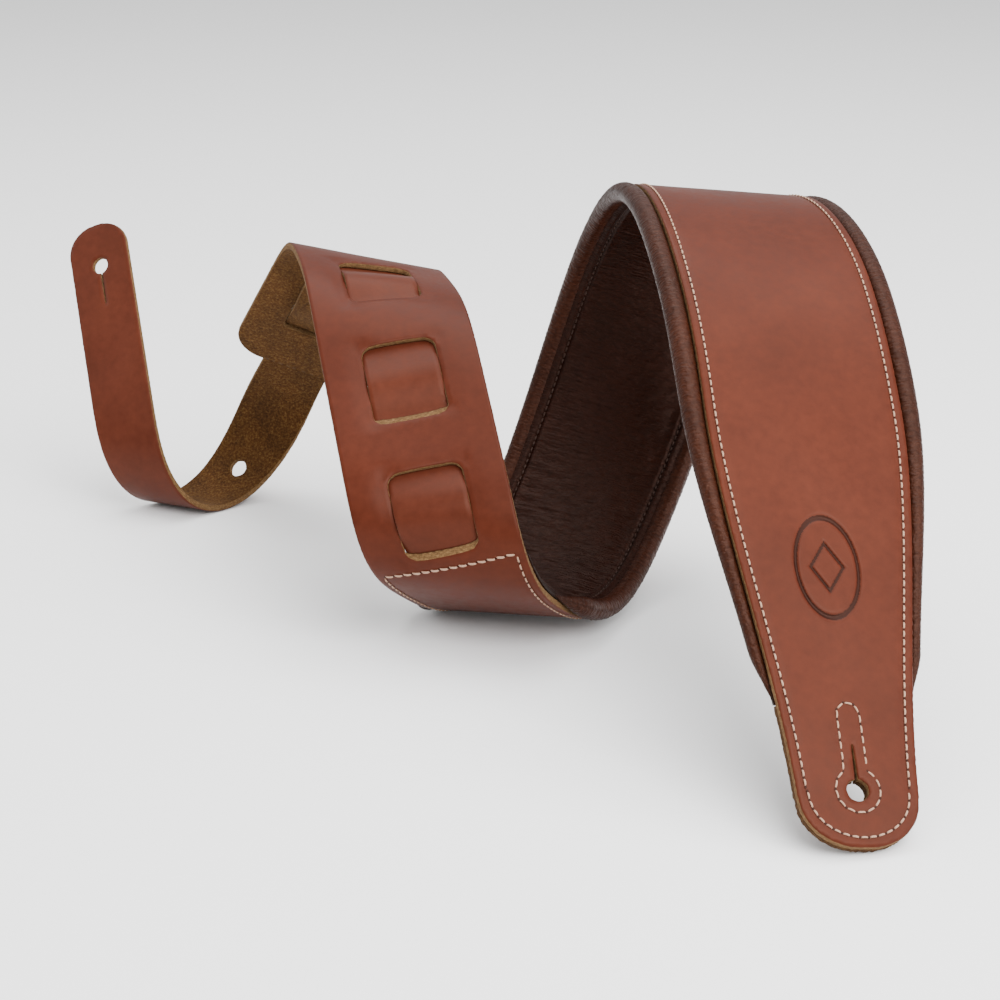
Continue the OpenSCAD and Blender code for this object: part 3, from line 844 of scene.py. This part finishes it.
def backing():
    u = np.concatenate([TAB_ROUND * (1 - np.cos(np.linspace(0, np.pi / 2, 40))),
                        np.arange(TAB_ROUND + 1, PAD_FROM - 0.3, 1.0)])
    v = half_at(u) - 0.15
    loop = resample(np.concatenate([np.stack([u, -v], 1), np.stack([u, v], 1)[::-1]]), 1.0)
    low = lambda a, b: np.full(np.shape(a), HALF + 0.06)
    high = lambda a, b: HALF + 0.05 + BACKING + 0.06 * wobble(a, b, 8, 4)
    obj = plate("tab_second_leather", loop, [hole_loop(TAB_HOLE, 0, HOLE_R, SLIT_LEN)], low, high,
                [SUEDE, SUEDE, SUEDE_EDGE], 1.6, 0.35, None, 0.28, 21)
    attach(obj, "root")
    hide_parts("tab_backing")
    return obj


# ---------------------------------------------------------------- the tail strap
def tail_outline():
    u = np.concatenate([TAIL_FROM + 10 * (1 - np.cos(np.linspace(0, np.pi / 2, 20))),
                        np.arange(TAIL_FROM + 11, TAIL_TO - 14, 1.0),
                        TAIL_TO - 14 * (1 - np.sin(np.linspace(0, np.pi / 2, 30)))])
    u = np.unique(np.round(u, 4))
    half = tail_half_at(u) + tail_spread(u)
    left = np.stack([u, tail_mid(u) - half], 1)
    right = np.stack([u, tail_mid(u) + half], 1)
    return resample(np.concatenate([left, right[::-1]]), 1.0)


def tail():
    low = lambda u, v: tail_w(u) - TAIL_T / 2
    high = lambda u, v: tail_w(u) + TAIL_T / 2 + 0.05 * wobble(u, v, 15, 3)
    shape = lambda u, v: 0.08 * wobble(u, v, 17, 30) * ease(940, 960, u)
    holes = [hole_loop(TAIL_HOLE, tail_mid(TAIL_HOLE), HOLE_R, SLIT_LEN + 3.5, -1),
             hole_loop(SECOND_HOLE, tail_mid(SECOND_HOLE), HOLE_R)]
    obj = plate("tail_strip", tail_outline(), holes, low, high, [TAIL_GRAIN, SUEDE, EDGE], 1.7, 0.4, shape, 0.1, 31)
    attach(obj, "root")
    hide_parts("tail_strap")
    return obj


# ---------------------------------------------------------------- the pad
def edge_u(x, side, extra):
    """The flat u where fold line x meets the strap's side, moved out by extra."""
    u = np.asarray(x, float)
    for _ in range(5):
        u = x - side * (body_half(u) + extra) * np.tan(np.radians(np.interp(x, LINES, SKEW)))
    return u


def compressed(u):
    """How strongly the lining is squeezed by the bends, from 0 to 1."""
    return np.clip(0.25 + 0.9 * ease(430, 600, u) * (1 - ease(655, 668, u)) + 0.25 * ease(300, 420, u), 0, 1)


def pad_lining():
    u = np.arange(PAD_FROM, PAD_TO + 0.1, 0.9)
    share = np.concatenate([[-1, -0.995], np.linspace(-0.985, 0.985, 110), [0.995, 1]])
    uu = u[:, None] + 0 * share
    reach = body_half(u)[:, None] + 2.0 * roll_at(u)[:, None] / ROLL_R
    vv = reach * share
    from_edge = reach * (1 - abs(share))
    ends = ease(0, 5, u - PAD_FROM) * ease(0, 5, PAD_TO - u)
    over_roll = ROLL_W + 0.80 * roll_at(u)[:, None]
    seam_dip = 1.7 * np.exp(-((from_edge - 4.6) / 0.9) ** 2)
    sewn = 0.5 * np.exp(-((from_edge - 8.5) / 3.5) ** 2) * ease(60, 90, uu) * (1 - ease(650, 668, uu))
    crown = 1.3 * ease(7, 24, from_edge)
    folds = wobble(uu * 1.0, vv * 0.16, 41, 3.6) + 0.6 * wobble(uu, vv * 0.22, 42, 2.0)
    amount = 0.34 * compressed(uu) * ease(1.5, 6, from_edge)
    inside = HALF + 0.2 + (FOAM_TOP + 0.9 - HALF + crown - sewn) * (0.35 + 0.65 * ends[:, None])
    drawn = ease(0, 4.0, from_edge)
    w = over_roll * (1 - drawn) + inside * drawn - seam_dip * ends[:, None] + amount * folds
    top = place(uu, vv, w)
    bottom = place(uu[:, ::-1], vv[:, ::-1], HALF + 0.12 + 0 * vv)
    rings = np.concatenate([top, bottom], 1)
    flat = np.concatenate([np.stack([uu, vv], -1), np.stack([uu, vv], -1)[:, ::-1] + np.array([0, 400])], 1)
    obj = tube("pad_lining_skin", rings[:, ::-1], flat[:, ::-1], [LINING])
    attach(obj, "root")
    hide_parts("pad_lining", "foam_pad")
    return obj


def rolled_edge(side):
    """Garment leather drawn round a cord: fine wrinkles across it, tighter in the bends."""
    u = np.arange(PAD_FROM + 2, ROLL_TO + 0.1, 0.6)
    angle = np.linspace(0, 2 * np.pi, 28, endpoint=False)
    r = roll_at(u)[:, None]
    close = ease(0, 4, u - PAD_FROM - 2) * ease(0, 4, ROLL_TO + 0.1 - u)
    r = r * (0.25 + 0.75 * close[:, None])
    lane = 40.0 * side + angle[None, :] * 2.0
    amount = 0.05 + 0.13 * compressed(u)[:, None]
    r = r + amount * (wobble(u[:, None], lane, 51, 1.6) + 0.7 * wobble(u[:, None], lane, 52, 0.9))
    v = side * (body_half(u)[:, None] - 0.25 + roll_at(u)[:, None] + r * np.cos(angle))
    w = ROLL_W + r * np.sin(angle)
    rings = place(u[:, None] + 0 * v, v, w)
    flat = np.stack([u[:, None] + 0 * v, 600.0 + angle * 5 + 0 * v], -1)
    if side < 0:
        rings, flat = rings[:, ::-1], flat[:, ::-1]
    name = "left" if side < 0 else "right"
    obj = tube("rolled_edge_" + name, rings, flat, [ROLL])
    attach(obj, "root")
    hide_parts("roll_" + name)
    return obj


def declare(obj, node):
    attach(obj, "root")
    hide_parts(node)


def lining_seam(side):
    u = np.arange(PAD_FROM + 8, PAD_TO - 4, 2.0)
    path = np.stack([u, side * (body_half(u) - 2.5)], 1)
    base = lambda a, b: np.full(np.shape(a), FOAM_TOP - 0.35)
    name = "left" if side < 0 else "right"
    obj, _ = seam(path, 3.0, "lining_stitches_" + name, base, 1, BROWN, 0.7, 0.78, 0.5, needle=None)
    declare(obj, "lining_thread_" + name)


declare(row_l, "edge_thread_left")
declare(row_r, "edge_thread_right")
declare(row_t, "tab_thread")
declare(row_k, "keyhole_thread")
declare(row_e, "pad_end_thread")
main_strap()
backing()
tail()
pad_lining()
for each_side in (-1, 1):
    rolled_edge(each_side)
    lining_seam(each_side)


# ---------------------------------------------------------------- floor, light and camera
def floor():
    mesh = bpy.data.meshes.new("floor")
    mesh.from_pydata([(-6, -6, 0), (6, -6, 0), (6, 6, 0), (-6, 6, 0)], [], [(0, 1, 2, 3)])
    m, tree, shader = material("floor")
    shader.inputs["Base Color"].default_value = (0.93, 0.93, 0.93, 1)
    shader.inputs["Roughness"].default_value = 0.9
    mesh.materials.append(m)
    obj = bpy.data.objects.new("floor", mesh)
    obj.location.z = -0.0006
    bpy.context.scene.collection.objects.link(obj)


def soft_box(name, where, aim, size, power, colour=(1, 1, 1)):
    light = bpy.data.lights.new(name, "AREA")
    light.shape = "RECTANGLE"
    light.size, light.size_y = size
    light.energy = power
    light.color = colour
    obj = bpy.data.objects.new(name, light)
    obj.location = where
    obj.rotation_euler = (Vector(aim) - Vector(where)).to_track_quat("-Z", "Y").to_euler()
    bpy.context.scene.collection.objects.link(obj)


def studio():
    centre = (0.0, 0.0, 0.08)
    soft_box("key", (0.55, -1.1, 1.25), centre, (1.3, 1.0), 46)
    soft_box("top", (0.2, 0.25, 1.6), centre, (1.8, 1.4), 38)
    soft_box("fill", (1.3, -0.7, 0.6), centre, (0.9, 1.2), 20)
    soft_box("rim", (-1.3, 0.2, 0.8), centre, (0.9, 1.0), 6)
    world = bpy.data.worlds.new("studio")
    world.use_nodes = True
    back = world.node_tree.nodes["Background"]
    back.inputs["Color"].default_value = (1, 1, 1, 1)
    back.inputs["Strength"].default_value = 0.85
    bpy.context.scene.world = world


def camera():
    data = bpy.data.cameras.new("camera")
    data.lens = 90
    data.sensor_width = 36
    obj = bpy.data.objects.new("camera", data)
    obj.location = (0.026, -1.000, 0.398)
    obj.rotation_euler = Euler((math.radians(71.2), 0, 0))
    bpy.context.scene.collection.objects.link(obj)
    bpy.context.scene.camera = obj


floor()
studio()
camera()
